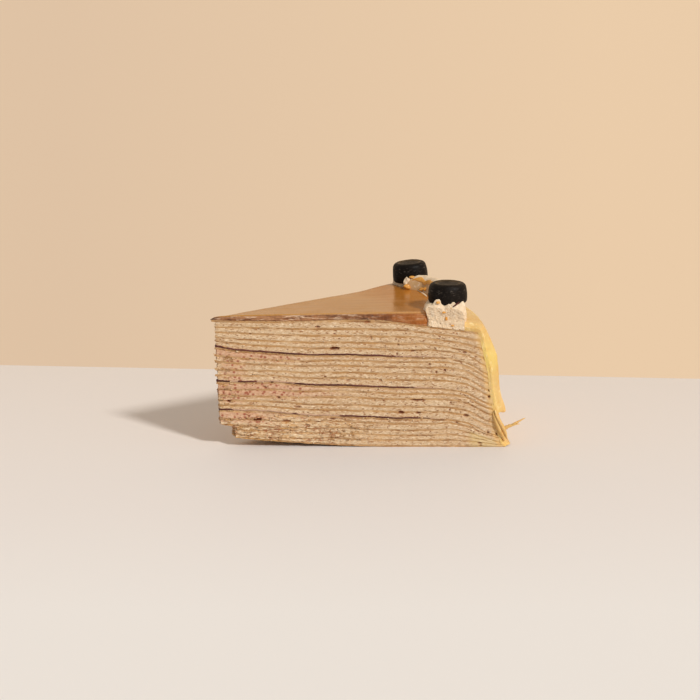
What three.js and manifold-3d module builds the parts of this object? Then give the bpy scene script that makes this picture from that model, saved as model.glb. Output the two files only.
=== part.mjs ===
// A slice of coffee mille-crepe cake: thin crepes stacked with whipped cream, three thin
// chocolate fillings, a caramel glaze, two crepes draped over the rim, and a border of piped
// cream with two chocolate drums.
//
// Millimetres, +Z up. The slice is built with its tip on the Z axis, its near cut face in the
// XZ plane and its far cut face turned from it by WEDGE_ANGLE. The last lines then move the
// origin to the middle of the slice's underside.

import * as THREE from "three";
import { mergeVertices } from "three/addons/utils/BufferGeometryUtils.js";
import Module from "manifold-3d";

const wasm = await Module();
wasm.setup();

const DEGREE = Math.PI / 180;

// The stack of crepes and cream
const CAKE_RADIUS = 112.2; // at the underside
const WEDGE_ANGLE = 37 * DEGREE;
const CREPE_COUNT = 21;
const CREPE_THICKNESS = 0.8;
const CREAM_THICKNESS = 1.67;
const LAYER_PITCH = CREPE_THICKNESS + CREAM_THICKNESS;
const STACK_HEIGHT = CREPE_COUNT * LAYER_PITCH - CREAM_THICKNESS;
const RIM_LEAN = 0.17; // how far the rim leans in for each millimetre of height
const SHOULDER_START = 38; // height where the rim begins to round over
const SHOULDER_ROUND = 1.2;

// How the layers bend down at the rim, most of all beside the two cuts. The lowest ones begin to
// do so last, and those above DROOP_TOP nearer to the tip and more evenly
const DROOP_START = 88; // radius
const DROOP_START_LOW = 92;
const DROOP_START_TOP = 66;
const DROOP_POWER = 1.5;
const DROOP_POWER_TOP = 1.05;
const DROOP_LOW = 20;
const DROOP_LOW_BLEND = 12; // below DROOP_LOW
const DROOP_TOP = 38;
const DROOP_AT_CUT = 4.1;
const DROOP_BETWEEN = 2.6;
const DROOP_REACH = 12 * DEGREE;
const DROOP_SHARE = 0.65; // of a layer's height, the most that it can bend down

// How the layers curl up towards the tip: the lowest ones most, and close to the tip also those
// round CURL_MIDDLE
const CURL_RADIUS = 72;
const CURL_POWER = 1.8;
const CURL_ALL = 0.4;
const CURL_LOW = 4.2;
const CURL_LOW_REACH = 9;
const CURL_MIDDLE = 38;
const CURL_MIDDLE_RISE = 2.4;
const CURL_MIDDLE_REACH = 7;
const CURL_MIDDLE_RADIUS = 50;
const CURL_MIDDLE_POWER = 4;

// How much the layers between the lowest and the top ones lie lower towards the rim
const SAG_FIRST = 1; // between the radii of 20 and 40
const SAG_SECOND = 0.8; // between the radii of 48 and 75
const SAG_BLEND = 10; // the height over which the sag comes in at the bottom and goes at the top

// How far the topmost layers crown in the middle of the slice
const CROWN = 0.8;
const CROWN_RADIUS = 55;
const CROWN_REACH = 18;
const CROWN_DEPTH = 6;

// How the tip is torn
const TIP_BLUNTNESS = 0.8; // radius of the tip's top end
const TIP_SLANT = 2; // how much further back the tip's lower end is
const NOTCH_HEIGHT = 7.3; // the lowest layers broken off at the tip
const NOTCH_RADIUS = 8.2;

// Each layer's outline is held by these rings, the torn tip and the rim, over a few spokes
const RING_RADII = [18, 50, 70, 90];
const SPOKES = 5;

// Fillings and glaze
const FILLED_CREPES = [6, 11, 16]; // counted from the bottom
const FILLING_THICKNESS = 0.6;
const GLAZE_RADIUS = RING_RADII[3];
const GLAZE_TIP_TOP = 51.8; // height of the glaze's top at the tip and at its outer edge
const GLAZE_EDGE_TOP = 53.9;
const GLAZE_RISE_POWER = 0.6;
const GLAZE_SLOPE = 0.35; // how much higher it is at the near cut and lower at the far one
const GLAZE_CORNER_RISE = 1.2; // beside the far dollop

// Draped crepes
const GAP = 0.3; // between pieces that touch without sharing a surface
const SHEET_THICKNESS = 0.9;
const SHEET_TOP_RADIUS = 96.5;
const INNER_SHEET_SPOKES = 10;
const OUTER_SHEET_SPOKES = 24;
const HEM_FLARE = 2.6;
const HEM_FLARE_HEIGHT = 24;
const HEM_FLARE_POWER = 0.8;
const PLEATS = 8.5;
const PLEAT_DEPTH = 2.1;
const PLEAT_START = 9; // how far below the top they reach that depth
const PLEAT_PHASE = 1.2 * DEGREE;
const INNER_HEM_HEIGHT = 0.5;
const OUTER_HEM_HEIGHT = 19;
const OUTER_HEM_UNEVENNESS = 3;

// Piped cream and chocolate drums
const NEAR_DRUM = { distance: 90.8, offset: 5.4, radius: 7.6, base: 56.8, tilt: 0 };
const FAR_DRUM = { distance: 92.4, offset: 6.6, radius: 7.1, base: 56.3, tilt: -5 * DEGREE };
const DRUM_HEIGHT = 7.8;
const NEAR_DOLLOP_RADIUS = 8;
const NEAR_DOLLOP_SHIFT = -1.1; // of its axis away from the drum's, along X
const FAR_DOLLOP_RADIUS = 7.4;
const FAR_DOLLOP_SHIFT = 1.5; // likewise, along Y
const DOLLOP_HEIGHT = 10;
const DOLLOP_LOBES = 7;
const LOBE_DEPTH = 0.1;
const LOBE_TWIST = 0.05; // radians for each millimetre of height
const ROPE_RADIUS = 93.6; // of the arc that the rope follows
const ROPE_START = 8.5 * DEGREE;
const ROPE_END = 30 * DEGREE;
const ROPE_HOOK = 6.5; // how far its end turns towards the tip, in front of the far drum
const ROPE_HOOK_LENGTH = 6 * DEGREE;
const ROPE_HALF_WIDTH = 4.5;
const ROPE_HALF_HEIGHT = 6;
const ROPE_CENTRE_HEIGHT = 54;
const ROPE_LOBES = 5;

const finish = (color, roughness) =>
  new THREE.MeshStandardMaterial({ color, roughness, metalness: 0 });
const crepeFinish = finish(0xb98d5c, 0.75);
const creamFinish = finish(0xd6b48a, 0.85);
const fillingFinish = finish(0x3a2420, 0.6);
const glazeFinish = finish(0xb9874f, 0.15);
const drapedFinish = finish(0xe6c07c, 0.6);
const pipedFinish = finish(0xe0c19a, 0.8);
const drumFinish = finish(0x231e1a, 0.45);

const clamp01 = (value) => Math.min(1, Math.max(0, value));

function polar(radius, angle, height) {
  return new THREE.Vector3(radius * Math.cos(angle), radius * Math.sin(angle), height);
}

// The rim's radius for a layer at this height
function rimRadius(height) {
  const shoulder = clamp01((height - SHOULDER_START) / (STACK_HEIGHT - SHOULDER_START));
  return CAKE_RADIUS - RIM_LEAN * height - SHOULDER_ROUND * shoulder ** 2;
}

// How far the torn tip stands back for a layer at this height
function tipRadius(height) {
  if (height < NOTCH_HEIGHT) return NOTCH_RADIUS;
  return TIP_BLUNTNESS + TIP_SLANT * (1 - height / STACK_HEIGHT) ** 1.3;
}

function droop(radius, angle, height) {
  const low = clamp01((DROOP_LOW - height) / DROOP_LOW_BLEND);
  const top = clamp01((height - DROOP_TOP) / (STACK_HEIGHT - DROOP_TOP));
  const startBelow = THREE.MathUtils.lerp(DROOP_START, DROOP_START_LOW, low);
  const start = THREE.MathUtils.lerp(startBelow, DROOP_START_TOP, top);
  const power = THREE.MathUtils.lerp(DROOP_POWER, DROOP_POWER_TOP, top);
  const way = clamp01((radius - start) / (rimRadius(height) - start));
  const fromCut = Math.min(angle, WEDGE_ANGLE - angle);
  const extra = (DROOP_AT_CUT - DROOP_BETWEEN) * Math.exp(-fromCut / DROOP_REACH);
  return Math.min(DROOP_SHARE * height, DROOP_BETWEEN + extra) * way ** power;
}

function curl(radius, height) {
  const low = CURL_ALL + CURL_LOW * Math.exp(-height / CURL_LOW_REACH);
  const away = (height - CURL_MIDDLE) / CURL_MIDDLE_REACH;
  const middle = CURL_MIDDLE_RISE * Math.exp(-(away ** 2));
  const lowWay = clamp01(1 - radius / CURL_RADIUS) ** CURL_POWER;
  const middleWay = clamp01(1 - radius / CURL_MIDDLE_RADIUS) ** CURL_MIDDLE_POWER;
  return low * lowWay + middle * middleWay;
}

function sag(radius, height) {
  const first = SAG_FIRST * THREE.MathUtils.smoothstep(radius, 20, 40);
  const second = SAG_SECOND * THREE.MathUtils.smoothstep(radius, 48, 75);
  const foot = clamp01(height / SAG_BLEND);
  const head = clamp01((STACK_HEIGHT - height) / SAG_BLEND);
  return (first + second) * foot * head;
}

function crown(radius, height) {
  const top = clamp01(1 - (STACK_HEIGHT - height) / CROWN_DEPTH) ** 2;
  return CROWN * top * Math.exp(-(((radius - CROWN_RADIUS) / CROWN_REACH) ** 2));
}

// A point of the surface between two layers, which lies at this height where it is flat
function stackPoint(radius, angle, height) {
  const rise = curl(radius, height) + crown(radius, height);
  return polar(radius, angle, height + rise - sag(radius, height) - droop(radius, angle, height));
}

function spokeAngles(count) {
  return Array.from({ length: count + 1 }, (_, j) => (WEDGE_ANGLE * j) / count);
}

function layerRings(height) {
  const radii = [tipRadius(height), ...RING_RADII, rimRadius(height)];
  return radii.map((radius) => spokeAngles(SPOKES).map((a) => stackPoint(radius, a, height)));
}

function raised(rings, rise) {
  return rings.map((ring, i) => ring.map((p) => p.clone().setZ(p.z + rise(i))));
}

// A closed solid between two surfaces, each given as rings of points from the inside out
function slab(lower, upper) {
  const positions = [];
  const triangle = (a, b, c) => {
    if (a.equals(b) || b.equals(c) || c.equals(a)) return;
    for (const p of [a, b, c]) positions.push(p.x, p.y, p.z);
  };
  const last = lower.length - 1;
  const side = lower[0].length - 1;
  for (let i = 0; i < last; i++) {
    for (let j = 0; j < side; j++) {
      triangle(upper[i][j], upper[i + 1][j], upper[i + 1][j + 1]);
      triangle(upper[i][j], upper[i + 1][j + 1], upper[i][j + 1]);
      triangle(lower[i][j], lower[i + 1][j + 1], lower[i + 1][j]);
      triangle(lower[i][j], lower[i][j + 1], lower[i + 1][j + 1]);
    }
  }
  const edge = [];
  for (let i = 0; i < last; i++) edge.push([i, 0]);
  for (let j = 0; j < side; j++) edge.push([last, j]);
  for (let i = last; i > 0; i--) edge.push([i, side]);
  for (let j = side; j > 0; j--) edge.push([0, j]);
  edge.forEach(([i, j], n) => {
    const [k, l] = edge[(n + 1) % edge.length];
    triangle(lower[i][j], lower[k][l], upper[k][l]);
    triangle(lower[i][j], upper[k][l], upper[i][j]);
  });
  const geometry = new THREE.BufferGeometry();
  return geometry.setAttribute("position", new THREE.Float32BufferAttribute(positions, 3));
}

function toSolid(geometry) {
  const bare = geometry.clone();
  bare.deleteAttribute("normal");
  bare.deleteAttribute("uv");
  const merged = mergeVertices(bare, 1e-4);
  const triVerts = new Uint32Array(merged.index.array);
  const vertProperties = merged.attributes.position.array;
  return new wasm.Manifold(new wasm.Mesh({ numProp: 3, vertProperties, triVerts }));
}

function toGeometry(solid) {
  const mesh = solid.getMesh();
  const geometry = new THREE.BufferGeometry();
  geometry.setAttribute("position", new THREE.BufferAttribute(mesh.vertProperties, 3));
  geometry.setIndex(new THREE.BufferAttribute(mesh.triVerts, 1));
  return geometry.toNonIndexed();
}

// The shape less its tools, without the offcuts
function cut(geometry, ...tools) {
  const rest = tools.reduce((solid, tool) => solid.subtract(toSolid(tool)), toSolid(geometry));
  const bodies = rest.decompose().sort((a, b) => b.volume() - a.volume());
  return toGeometry(bodies[0]);
}

const slice = new THREE.Group();

function addPiece(name, geometry, material) {
  const piece = new THREE.Mesh(geometry, material);
  piece.name = name;
  piece.geometry.computeVertexNormals();
  slice.add(piece);
}

// Crepes, cream and the chocolate fillings, from the bottom up
function addStack() {
  const number = (n) => String(n).padStart(2, "0");
  for (let n = 1; n <= CREPE_COUNT; n++) {
    const height = (n - 1) * LAYER_PITCH;
    const under = layerRings(height);
    const over = layerRings(height + CREPE_THICKNESS);
    addPiece(`crepe_${number(n)}`, slab(under, over), crepeFinish);
    if (n === CREPE_COUNT) break;
    let creamUnder = over;
    const filling = FILLED_CREPES.indexOf(n) + 1;
    if (filling) {
      // The filling thins out to nothing at the ring before the rim
      const lastRing = over.length - 2;
      creamUnder = raised(over, (i) => (i < lastRing ? FILLING_THICKNESS : 0));
      const body = slab(over.slice(0, -1), creamUnder.slice(0, -1));
      addPiece(`chocolate_filling_${filling}`, body, fillingFinish);
    }
    const next = layerRings(height + LAYER_PITCH);
    addPiece(`cream_${number(n)}`, slab(creamUnder, next), creamFinish);
  }
}

const nearAxis = new THREE.Vector3(NEAR_DRUM.distance, NEAR_DRUM.offset, 0);
const farAngle = WEDGE_ANGLE - Math.asin(FAR_DRUM.offset / FAR_DRUM.distance);
const farAxis = polar(FAR_DRUM.distance, farAngle, 0);

// A chocolate drum with rounded edges, a dished top and a wider foot
function drum(axis, kind, extra = 0) {
  const radius = kind.radius + extra;
  const height = DRUM_HEIGHT + 2 * extra;
  const profile = [
    [0, 0],
    [0.82, 0.01],
    [0.96, 0.1],
    [1, 0.3],
    [0.985, 0.6],
    [0.91, 0.88],
    [0.77, 1],
    [0.62, 0.95],
    [0, 0.93],
  ].map(([r, h]) => new THREE.Vector2(r * radius, h * height));
  return new THREE.LatheGeometry(profile, 17)
    .rotateX(Math.PI / 2)
    .rotateY(kind.tilt)
    .translate(axis.x, axis.y, kind.base - extra);
}

const nearDrum = (extra = 0) => drum(nearAxis, NEAR_DRUM, extra);
const farDrum = (extra = 0) => drum(farAxis, FAR_DRUM, extra);

// A piped dollop, whose lobes wind round it as it rises from the crepe. The knife can have
// pressed it square on the side of -Y
function dollop(axis, radius, drumBase, pressed, extra) {
  const base = drumBase - DOLLOP_HEIGHT + 1;
  const profile = [
    [0, 0],
    [0.92, 0],
    [1, 0.28],
    [0.96, 0.55],
    [0.84, 0.8],
    [0.6, 0.96],
    [0, 1],
  ].map(([r, h]) => new THREE.Vector2(r * (radius + extra), h * (DOLLOP_HEIGHT + extra)));
  const geometry = new THREE.LatheGeometry(profile, 28).rotateX(Math.PI / 2);
  const points = geometry.attributes.position;
  for (let n = 0; n < points.count; n++) {
    const angle = Math.atan2(points.getY(n), points.getX(n));
    const wave = Math.cos(DOLLOP_LOBES * angle + LOBE_TWIST * DOLLOP_LOBES * points.getZ(n));
    const square = (Math.cos(angle) ** 4 + Math.sin(angle) ** 4) ** -0.25;
    const scale = (1 + LOBE_DEPTH * wave) * (pressed && angle < 0 ? square : 1);
    points.setXY(n, points.getX(n) * scale, points.getY(n) * scale);
  }
  return geometry.translate(axis.x, axis.y, base);
}

const nearDollopAxis = nearAxis.clone().setX(nearAxis.x + NEAR_DOLLOP_SHIFT);
const farDollopAxis = farAxis.clone().setY(farAxis.y + FAR_DOLLOP_SHIFT);

function nearDollop(extra = 0) {
  return dollop(nearDollopAxis, NEAR_DOLLOP_RADIUS, NEAR_DRUM.base, true, extra);
}

function farDollop(extra = 0) {
  return dollop(farDollopAxis, FAR_DOLLOP_RADIUS, FAR_DRUM.base, false, extra);
}

// The piped rope between the dollops: a row of lobes bent round the cake's axis
function rope(extra = 0) {
  const length = (ROPE_END - ROPE_START) * ROPE_RADIUS;
  const steps = ROPE_LOBES * 3;
  const profile = Array.from({ length: steps + 1 }, (_, n) => {
    const way = n / steps;
    const ends = Math.sqrt(1 - (2 * way - 1) ** 8);
    const lobes = 0.88 + 0.12 * Math.abs(Math.sin(Math.PI * ROPE_LOBES * way));
    return new THREE.Vector2(n % steps ? ends * lobes : 0, (way - 0.5) * length);
  });
  const geometry = new THREE.LatheGeometry(profile, 10);
  const points = geometry.attributes.position;
  for (let n = 0; n < points.count; n++) {
    const across = points.getX(n) * (ROPE_HALF_WIDTH + extra);
    const rise = points.getZ(n) * (ROPE_HALF_HEIGHT + extra);
    const angle = (ROPE_START + ROPE_END) / 2 + points.getY(n) / ROPE_RADIUS;
    const hook = ROPE_HOOK * clamp01(1 - (ROPE_END - angle) / ROPE_HOOK_LENGTH) ** 1.5;
    const p = polar(ROPE_RADIUS - hook + across, angle, ROPE_CENTRE_HEIGHT + rise);
    points.setXYZ(n, p.x, p.y, p.z);
  }
  return geometry;
}

// What lies beyond each cut, as a block to cut away
function beyondNearCut() {
  return new THREE.BoxGeometry(60, 40, 60).translate(NEAR_DRUM.distance, -20, NEAR_DRUM.base);
}

function beyondFarCut() {
  const block = new THREE.BoxGeometry(60, 40, 60);
  block.translate(FAR_DRUM.distance, 20, FAR_DRUM.base);
  return block.rotateZ(WEDGE_ANGLE);
}

// All that lies under the toppings, raised by the gap
function seat() {
  const rings = [70, 78, 90, 100, rimRadius(STACK_HEIGHT) + 4].map((radius) =>
    [-0.2, 0, 0.2, 0.4, 0.6, 0.8, 1, 1.2].map((way) => {
      const angle = clamp01(way) * WEDGE_ANGLE;
      const top = stackPoint(radius, angle, STACK_HEIGHT).z + GAP;
      return polar(radius, way * WEDGE_ANGLE, top);
    }),
  );
  const floor = rings.map((ring) => ring.map((p) => p.clone().setZ(STACK_HEIGHT - 20)));
  return slab(floor, rings);
}

function addToppings() {
  const under = seat();
  const nearTools = [beyondNearCut(), under, nearDrum(GAP)];
  const farTools = [beyondFarCut(), under, farDrum(GAP)];
  addPiece("cream_dollop_near", cut(nearDollop(), ...nearTools), pipedFinish);
  addPiece("cream_dollop_far", cut(farDollop(), ...farTools), pipedFinish);
  const neighbours = [nearDollop(GAP), farDollop(GAP), nearDrum(GAP), farDrum(GAP)];
  addPiece("cream_rope", cut(rope(), under, ...neighbours), pipedFinish);
  addPiece("chocolate_drum_near", nearDrum(), drumFinish);
  addPiece("chocolate_drum_far", farDrum(), drumFinish);
}

// The glaze fills up the crepe's dip and comes against the piped cream
function addGlaze() {
  const under = layerRings(STACK_HEIGHT).slice(0, -1);
  const over = under.map((ring) =>
    ring.map((p) => {
      const radius = Math.hypot(p.x, p.y);
      const turn = Math.atan2(p.y, p.x) / WEDGE_ANGLE;
      const out = clamp01(radius / GLAZE_RADIUS) ** GLAZE_RISE_POWER;
      const rise = (GLAZE_EDGE_TOP - GLAZE_TIP_TOP) * out + GLAZE_SLOPE * (1 - 2 * turn);
      const corner = THREE.MathUtils.smoothstep(radius, 68, 88) * clamp01(2 * turn - 0.6);
      return p.clone().setZ(GLAZE_TIP_TOP + rise + GLAZE_CORNER_RISE * corner);
    }),
  );
  const tools = [nearDollop(GAP), farDollop(GAP), rope(GAP), farDrum(GAP)];
  addPiece("glaze", cut(slab(under, over), ...tools), glazeFinish);
}

// One draped crepe: its path leads over the shoulder and down the rim to its hem. offset says
// how far from the stack it lies at each height and angle, and hem at what height it ends.
function drapedSheet(offset, hem, spokes) {
  const shoulderSteps = 2;
  const sideSteps = 5;
  const surface = (extra) => {
    const rings = [];
    for (let n = 0; n < shoulderSteps; n++) {
      const way = n / shoulderSteps;
      const radius = THREE.MathUtils.lerp(SHEET_TOP_RADIUS, rimRadius(STACK_HEIGHT), way);
      const lean = 20 * DEGREE * way;
      rings.push(
        spokeAngles(spokes).map((angle) => {
          const out = offset(STACK_HEIGHT, angle) + extra;
          const p = stackPoint(radius, angle, STACK_HEIGHT);
          return polar(radius + out * Math.sin(lean), angle, p.z + out * Math.cos(lean));
        }),
      );
    }
    for (let n = 0; n <= sideSteps; n++) {
      const way = n / sideSteps;
      rings.push(
        spokeAngles(spokes).map((angle) => {
          const height = THREE.MathUtils.lerp(STACK_HEIGHT, hem(angle), way);
          const out = offset(height, angle) + extra;
          const lean = (n === 0 ? 50 : 82) * DEGREE;
          const p = stackPoint(rimRadius(height), angle, height);
          return polar(rimRadius(height) + out * Math.sin(lean), angle, p.z + out * Math.cos(lean));
        }),
      );
    }
    return rings;
  };
  return slab(surface(0), surface(SHEET_THICKNESS));
}

function addDrapedCrepes() {
  const innerOffset = (height) =>
    GAP + HEM_FLARE * clamp01(1 - height / HEM_FLARE_HEIGHT) ** HEM_FLARE_POWER;
  const pleat = (angle) => {
    const turn = (2 * Math.PI * PLEATS * (angle - PLEAT_PHASE)) / WEDGE_ANGLE;
    return 0.5 + 0.35 * Math.cos(turn) + 0.15 * Math.cos(1.7 * turn + 1);
  };
  const outerOffset = (height, angle) => {
    const fall = clamp01((STACK_HEIGHT - height) / PLEAT_START);
    return innerOffset(height) + SHEET_THICKNESS + GAP + PLEAT_DEPTH * fall * pleat(angle);
  };
  const innerHem = () => INNER_HEM_HEIGHT;
  const outerHem = (angle) =>
    OUTER_HEM_HEIGHT + OUTER_HEM_UNEVENNESS * Math.sin(23 * angle) * Math.cos(9 * angle + 1);
  const tools = [nearDollop(GAP), farDollop(GAP), rope(GAP)];
  const inner = drapedSheet(innerOffset, innerHem, INNER_SHEET_SPOKES);
  const outer = drapedSheet(outerOffset, outerHem, OUTER_SHEET_SPOKES);
  addPiece("draped_crepe_inner", cut(inner, ...tools), drapedFinish);
  addPiece("draped_crepe_outer", cut(outer, ...tools), drapedFinish);
}

addStack();
addGlaze();
addDrapedCrepes();
addToppings();

const box = new THREE.Box3().setFromObject(slice, true);
const middle = box.getCenter(new THREE.Vector3());
slice.position.set(-middle.x, -middle.y, -box.min.z);

const crepeCake = new THREE.Group();
crepeCake.add(slice);

export default crepeCake;
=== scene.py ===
import random
from collections import namedtuple
from math import asin, atan2, cos, exp, hypot, pi, radians, sin, sqrt, tan, tau

import bmesh
import bpy
from mathutils import Matrix, Vector, noise


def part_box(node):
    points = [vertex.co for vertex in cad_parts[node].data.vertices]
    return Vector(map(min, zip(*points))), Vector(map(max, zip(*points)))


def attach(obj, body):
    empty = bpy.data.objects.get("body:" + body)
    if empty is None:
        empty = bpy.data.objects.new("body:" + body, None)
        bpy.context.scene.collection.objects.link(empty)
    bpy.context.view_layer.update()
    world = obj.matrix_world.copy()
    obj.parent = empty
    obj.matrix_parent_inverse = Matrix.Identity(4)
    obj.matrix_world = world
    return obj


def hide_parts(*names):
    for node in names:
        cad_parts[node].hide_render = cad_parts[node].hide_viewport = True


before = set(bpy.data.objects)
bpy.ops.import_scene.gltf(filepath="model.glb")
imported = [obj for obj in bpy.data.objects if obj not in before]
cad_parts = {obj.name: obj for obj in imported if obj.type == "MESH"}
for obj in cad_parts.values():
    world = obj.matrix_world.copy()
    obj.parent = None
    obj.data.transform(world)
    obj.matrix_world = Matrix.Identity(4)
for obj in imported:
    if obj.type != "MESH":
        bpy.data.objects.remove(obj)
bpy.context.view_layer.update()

# A slice of coffee mille-crepe cake. Lengths are in millimetres, with the slice's tip on the Z
# axis, its near cut face in the XZ plane and its far cut face WEDGE further round. place() takes
# such a point to metres in the frame of the whole part.

MM = 0.001
CAKE_RADIUS = 112.2
WEDGE = radians(37)
CREPE_COUNT = 21
CREPE_THICKNESS = 0.8
CREAM_THICKNESS = 1.67
LAYER_PITCH = CREPE_THICKNESS + CREAM_THICKNESS
STACK_HEIGHT = CREPE_COUNT * LAYER_PITCH - CREAM_THICKNESS
FILLED_CREPES = (6, 11, 16)
FILLING_THICKNESS = 0.68
FILLING_END = 90
SHOULDER_HEIGHT = 38  # where the rim starts to round over
GLAZE_END = 91.5
DRUM_HEIGHT = 7.8
ROPE_RADIUS = 93.6
GAP = 0.3

first_low, first_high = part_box("crepe_01")
TIP = Vector((first_high.x - CAKE_RADIUS * MM, first_low.y, 0))
NEAR, FAR = 0, 1  # the two cut faces, and the way out of each
CUT_NORMALS = (Vector((0, -1, 0)), Vector((-sin(WEDGE), cos(WEDGE), 0)))


def place(point):
    return TIP + point * MM


def clamp01(value):
    return min(1.0, max(0.0, value))


def smooth(low, high, value):
    """0 below low, 1 above high, and a soft step between them."""
    way = clamp01((value - low) / (high - low))
    return way * way * (3 - 2 * way)


def fade(low, high, value):
    """1 below low, 0 above high, and a soft step between them."""
    return 1 - smooth(low, high, value)


def bell(value, centre, width):
    """1 at the centre, falling away softly on both sides."""
    return exp(-(((value - centre) / width) ** 2))


def lerp(start, end, way):
    return start + (end - start) * way


def along_line(points, x):
    """The value at x of the line through these points, which are sorted by x."""
    for (x0, y0), (x1, y1) in zip(points, points[1:]):
        if x <= x1:
            return lerp(y0, y1, clamp01((x - x0) / (x1 - x0)))
    return points[-1][1]


def grain(x, y, z=0.0):
    """Smooth noise from about -1 to 1."""
    return noise.noise(Vector((x, y, z)))


def ripples(x, y, seed, waves):
    """A sum of noises. Each wave has a height, a rate along x, one along y and its own seed."""
    return sum(height * grain(x * along, y * across, seed + own)
               for height, along, across, own in waves)


def lumps(point, seed, *waves):
    """A sum of noises in space. Each wave has a height and a rate."""
    return sum(height * grain(point.x * rate, point.y * rate + seed, point.z * rate)
               for height, rate in waves)


def polar(radius, angle, height):
    return Vector((radius * cos(angle), radius * sin(angle), height))


# ---------------------------------------------------------------- the stack's surfaces


def toward_top(height):
    """0 up to the shoulder of the rim and 1 at the top of the stack."""
    return clamp01((height - SHOULDER_HEIGHT) / (STACK_HEIGHT - SHOULDER_HEIGHT))


def rim_radius(height):
    return CAKE_RADIUS - 0.17 * height - 1.2 * toward_top(height) ** 2


def tip_radius(height):
    upper = 0.8 + 2 * (1 - height / STACK_HEIGHT) ** 1.3
    return lerp(8.2, upper, smooth(6.4, 8.2, height))


def cut_distances(radius, angle):
    """How far a place is behind the near cut and behind the far one."""
    return radius * sin(angle), radius * sin(WEDGE - angle)


def droop(radius, angle, height):
    """How far the layers bend down towards the rim."""
    head = toward_top(height)
    start = lerp(lerp(88, 92, clamp01((20 - height) / 12)), 66, head)
    way = clamp01((radius - start) / (rim_radius(height) - start))
    deepest = 2.6 + 1.5 * exp(-min(angle, WEDGE - angle) / radians(12))
    return min(0.65 * height, deepest) * way ** lerp(1.5, 1.05, head)


def curl(radius, height):
    """How far the layers bend up towards the tip."""
    low = (4.2 * exp(-height / 9) + 0.4) * clamp01(1 - radius / 72) ** 1.8
    return low + 2.4 * bell(height, 38, 7) * clamp01(1 - radius / 50) ** 4


def stack_point(radius, angle, height):
    """A point of the surface between two layers, which lies at this height where it is flat."""
    crown = 0.8 * clamp01(1 - (STACK_HEIGHT - height) / 6) ** 2 * bell(radius, 55, 18)
    sag = smooth(20, 40, radius) + 0.8 * smooth(48, 75, radius)
    sag *= clamp01(height / 10) * clamp01((STACK_HEIGHT - height) / 10)
    level = height + curl(radius, height) + crown - sag - droop(radius, angle, height)
    return polar(radius, angle, level)


# Where the layers swell beside the near cut: distance from the tip, height, both reaches, rise
SWELLS = (
    (24, 26, 8, 6, 0.4),
    (10, 13.5, 14, 6, 0.5),
    (92, 7.5, 7, 4, 0.5),
)

# How far each crepe lies from an even spacing, near the tip and further out
CREPE_SHIFTS = (
    (0, 0), (-0.8, 0.35), (-0.5, 0.3), (-0.9, 0.3), (-0.7, 0.8), (0, 0), (0.2, 0.6),
    (0, 0.25), (-0.4, 0.9), (-0.2, 0.6), (0, 0), (0.5, 1.1), (0.1, 1.0), (0.1, 1.3),
    (-0.5, 0.9), (-0.5, 0), (0.2, 0.8), (-0.2, 0.4), (0, 0.3), (0, 0.1), (0, 0),
)

END_DROP = 2.3  # how much further the layers' ends hang down beside the near cut


def hanging_end(radius, height):
    return smooth(97, 107, radius) * smooth(4, 14, height) * fade(40, 49, height)


def layer_wave(point, height):
    """The unevenness of the surface between two layers. Both sides of a crepe move together."""
    crepe = round(height / LAYER_PITCH)
    inner, outer = CREPE_SHIFTS[min(crepe, CREPE_COUNT - 1)]
    torn = 1 + 0.8 * crumbled(point.x, height)
    wave = lerp(inner, outer, smooth(22, 48, point.x))
    wave += 0.15 * grain(point.x * 0.05, point.y * 0.05, height * 0.11)
    wave += 0.14 * grain(point.x * 0.09, point.y * 0.09, crepe * 1.7)
    wave += 0.14 * torn * grain(point.x * 0.28, point.y * 0.28, crepe * 2.3 + 40)
    wave += 0.08 * torn * grain(point.x * 0.8, point.y * 0.8, height * 1.3 + 90)
    beside_cut = bell(point.y, 0, 14)
    for radius, level, reach, height_reach, rise in SWELLS:
        near = bell(point.x, radius, reach) * bell(height, level, height_reach)
        wave += rise * beside_cut * near
    wave -= END_DROP * beside_cut * hanging_end(point.x, height)
    foot = smooth(0, 3, height)
    head = 1 - 0.7 * smooth(STACK_HEIGHT - 2, STACK_HEIGHT, height)
    return wave * foot * head


# ---------------------------------------------------------------- what the knife left

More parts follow.
